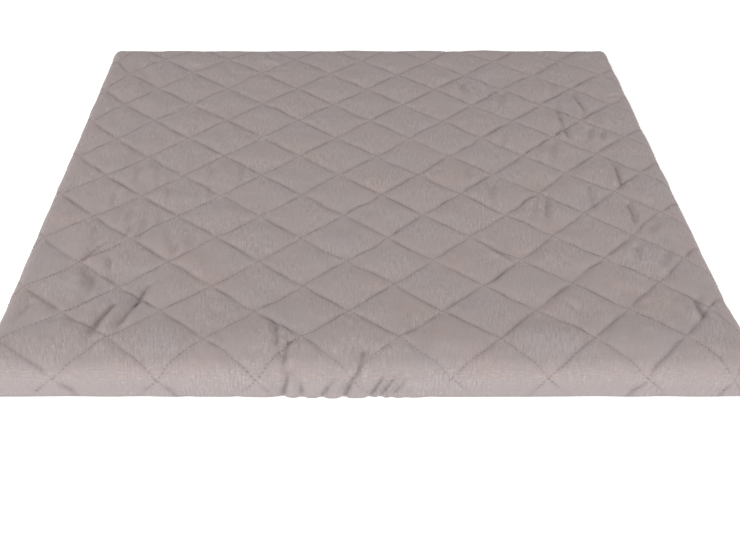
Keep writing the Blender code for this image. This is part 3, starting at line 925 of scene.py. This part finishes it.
def cloth_material(colours):
    """Matt quilted cloth: a warm grey with warmer and cooler patches on the top, the drops left cool as
    painted sheen, fine streaks, light fibre ends, wear on the front fold, and painted shade along the stitch
    grooves, where the nap is also flattened, and in the deep creases."""
    material = bpy.data.materials.new("Quilted cloth")
    tree, surface = surface_of(material)
    nap = tree.nodes.new("ShaderNodeGroup")
    nap.node_tree = nap_group()
    tree.links.new(attribute(tree, PLACE, "Vector"), nap.inputs["Place"])
    hollow_share, fleck_share, wear_share, seam_share = 0.5, 0.32, 0.22, 0.86
    patched = mixed(tree, remapped(tree, nap.outputs["Patches"], 0.36, 0.64), colours.cool, colours.warm)
    hollows = remapped(tree, nap.outputs["Streaks"], 0.0, 1.0, to_low=hollow_share, to_high=0.0)
    streaked = mixed(tree, hollows, patched, colours.hollow_and_shade)
    flecked = mixed(tree, weakened(tree, nap.outputs["Fibre ends"], fleck_share), streaked, colours.fleck)
    worn = mixed(tree, weakened(tree, nap.outputs["Fold wear"], wear_share), flecked, colours.fleck)
    # Painted shade: the seam attribute lays the dark colour along the stitch grooves and in the deep creases
    groove_shade = attribute(tree, SEAM_SHADE, "Fac")
    shaded_cloth = mixed(tree, weakened(tree, groove_shade, seam_share), worn, colours.hollow_and_shade)
    tree.links.new(shaded_cloth, surface.inputs["Base Color"])
    roughness = remapped(tree, nap.outputs["Streaks"], 0.0, 1.0, to_low=1.0, to_high=0.9)
    tree.links.new(roughness, surface.inputs["Roughness"])
    bump = tree.nodes.new("ShaderNodeBump")
    bump.inputs["Strength"].default_value = 0.7
    bump.inputs["Distance"].default_value = 0.0007
    tree.links.new(nap.outputs["Height"], bump.inputs["Height"])
    tree.links.new(bump.outputs["Normal"], surface.inputs["Normal"])
    surface.inputs["Specular IOR Level"].default_value = 0.15
    surface.inputs["Sheen Weight"].default_value = 0.1
    surface.inputs["Sheen Roughness"].default_value = 0.5
    return material


def thread_material(colours):
    """Dull sewing thread with a fine twist."""
    material = bpy.data.materials.new("Quilting thread")
    tree, surface = surface_of(material)
    place = tree.nodes.new("ShaderNodeTexCoord")
    uneven = noise(tree, place.outputs["Object"], 150.0)
    dark_share = 0.8
    darker = tuple(dark_share * value for value in colours.thread)
    colour = mixed(tree, remapped(tree, uneven, 0.35, 0.65), darker, colours.thread)
    tree.links.new(colour, surface.inputs["Base Color"])
    twist = noise(tree, stretched(tree, place.outputs["Object"], (2500.0, 2500.0, 900.0)), 1.0, detail=1.0)
    bump = tree.nodes.new("ShaderNodeBump")
    bump.inputs["Strength"].default_value = 0.4
    bump.inputs["Distance"].default_value = 0.0002
    tree.links.new(twist, bump.inputs["Height"])
    tree.links.new(bump.outputs["Normal"], surface.inputs["Normal"])
    surface.inputs["Roughness"].default_value = 0.8
    return material


def floor_material(colour):
    """A matt pale floor that glows a little, so that it renders white."""
    glow = 0.40
    material = bpy.data.materials.new("Pale floor")
    tree, surface = surface_of(material)
    surface.inputs["Base Color"].default_value = (*colour, 1)
    surface.inputs["Roughness"].default_value = 0.9
    surface.inputs["Emission Color"].default_value = (1, 1, 1, 1)
    surface.inputs["Emission Strength"].default_value = glow
    return material


class COVER_OT_cloth(bpy.types.Operator):
    """Sews the quilted cloth of the cover"""

    bl_idname = "cover.cloth"
    bl_label = "Quilted cloth"

    def execute(self, context):
        scene = context.scene
        shape = CoverShape(scene.cover_sizes)
        cloth = sew_cloth(shape, scene.cover_sizes.cells, cloth_material(scene.cover_colours))
        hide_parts(NODE)
        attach(cloth, BODY)
        return {"FINISHED"}


class COVER_OT_thread(bpy.types.Operator):
    bl_idname = "cover.thread"
    bl_label = "Quilting thread"

    def execute(self, context):
        scene = context.scene
        shape = CoverShape(scene.cover_sizes)
        thread = sew_thread(shape, scene.cover_thread, thread_material(scene.cover_colours))
        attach(thread, BODY)
        return {"FINISHED"}


class COVER_OT_stage(bpy.types.Operator):
    """Lays the floor, sets three soft lights in front and puts the camera in its place"""

    bl_idname = "cover.stage"
    bl_label = "Floor, lights and camera"

    FLOOR_HALF = 12.0
    CAMERA_SIDE, CAMERA_BACK = -0.0178, -0.9093
    FOCAL_PIXELS = 1053
    SENSOR = 36.0
    CENTRE_SHIFT = 0.0322
    CLOTH_TOP = 0.0045
    SIDE_LIGHTS = ((-2.35, -1.0, 1.4), (2.6, -1.0, 1.4))
    FRONT_LIGHT = (0.0, -3.2, 0.72)
    FRONT_TINT = (0.94, 1.02, 1.04)
    LIGHT_SIZE = 1.1
    LIGHT_AIM = Vector((0, -0.05, 0))

    def execute(self, context):
        scene = context.scene
        stage = scene.cover_stage
        half, level = self.FLOOR_HALF, LOW[2]
        corners = np.array(
            ((-half, -half, level), (half, -half, level), (half, half, level), (-half, half, level))
        )
        new_mesh_object("pale_floor", corners, [(0, 1, 2, 3)], floor_material(stage.floor))

        lights = [(spot, stage.side_power, (1, 1, 1)) for spot in self.SIDE_LIGHTS]
        lights.append((self.FRONT_LIGHT, stage.front_power, self.FRONT_TINT))
        for number, (spot, power, tint) in enumerate(lights):
            light = bpy.data.lights.new(f"soft_light_{number}", "AREA")
            light.shape = "SQUARE"
            light.size = self.LIGHT_SIZE
            light.energy = power
            light.color = tint
            lamp = bpy.data.objects.new(light.name, light)
            lamp.location = spot
            lamp.rotation_mode = "QUATERNION"
            aim = self.LIGHT_AIM - lamp.location
            lamp.rotation_quaternion = aim.to_track_quat("-Z", "Y")
            scene.collection.objects.link(lamp)

        world = bpy.data.worlds.new("Even sky")
        world.use_nodes = True
        sky = world.node_tree.nodes["Background"]
        sky.inputs["Color"].default_value = (1, 1, 1, 1)
        sky.inputs["Strength"].default_value = stage.sky
        scene.world = world
        scene.view_settings.view_transform = "Standard"

        camera = bpy.data.objects.new("camera", bpy.data.cameras.new("camera"))
        camera.data.sensor_width = self.SENSOR
        camera.data.lens = self.SENSOR * self.FOCAL_PIXELS / IMAGE_WIDTH
        camera.data.shift_x = self.CENTRE_SHIFT
        camera.location = (self.CAMERA_SIDE, self.CAMERA_BACK, self.CLOTH_TOP + stage.above)
        camera.rotation_euler = (pi / 2 - stage.tilt, 0, 0)
        scene.collection.objects.link(camera)
        scene.camera = camera
        return {"FINISHED"}


class COVER_PT_panel(bpy.types.Panel):
    """Sizes, colours and steps of the cover"""

    bl_idname = "COVER_PT_panel"
    bl_label = "Quilted cover"
    bl_space_type = "VIEW_3D"
    bl_region_type = "UI"
    bl_category = "Cover"

    def draw(self, context):
        scene = context.scene
        for group in (scene.cover_sizes, scene.cover_thread, scene.cover_colours, scene.cover_stage):
            box = self.layout.box()
            for name in group.__annotations__:
                box.prop(group, name)
        for operator in (COVER_OT_cloth, COVER_OT_thread, COVER_OT_stage):
            self.layout.operator(operator.bl_idname)


GROUPS = {
    "cover_sizes": CoverSizes,
    "cover_thread": ThreadSizes,
    "cover_colours": CoverColours,
    "cover_stage": StageSettings,
}
CLASSES = (*GROUPS.values(), COVER_OT_cloth, COVER_OT_thread, COVER_OT_stage, COVER_PT_panel)


def register():
    for item in CLASSES:
        bpy.utils.register_class(item)
    for name, group in GROUPS.items():
        setattr(bpy.types.Scene, name, PointerProperty(type=group))


def unregister():
    for name in GROUPS:
        delattr(bpy.types.Scene, name)
    for item in reversed(CLASSES):
        bpy.utils.unregister_class(item)


def main():
    """Sews the cover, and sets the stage."""
    register()
    bpy.ops.cover.cloth()
    bpy.ops.cover.thread()
    bpy.ops.cover.stage()


if __name__ == "__main__":
    main()
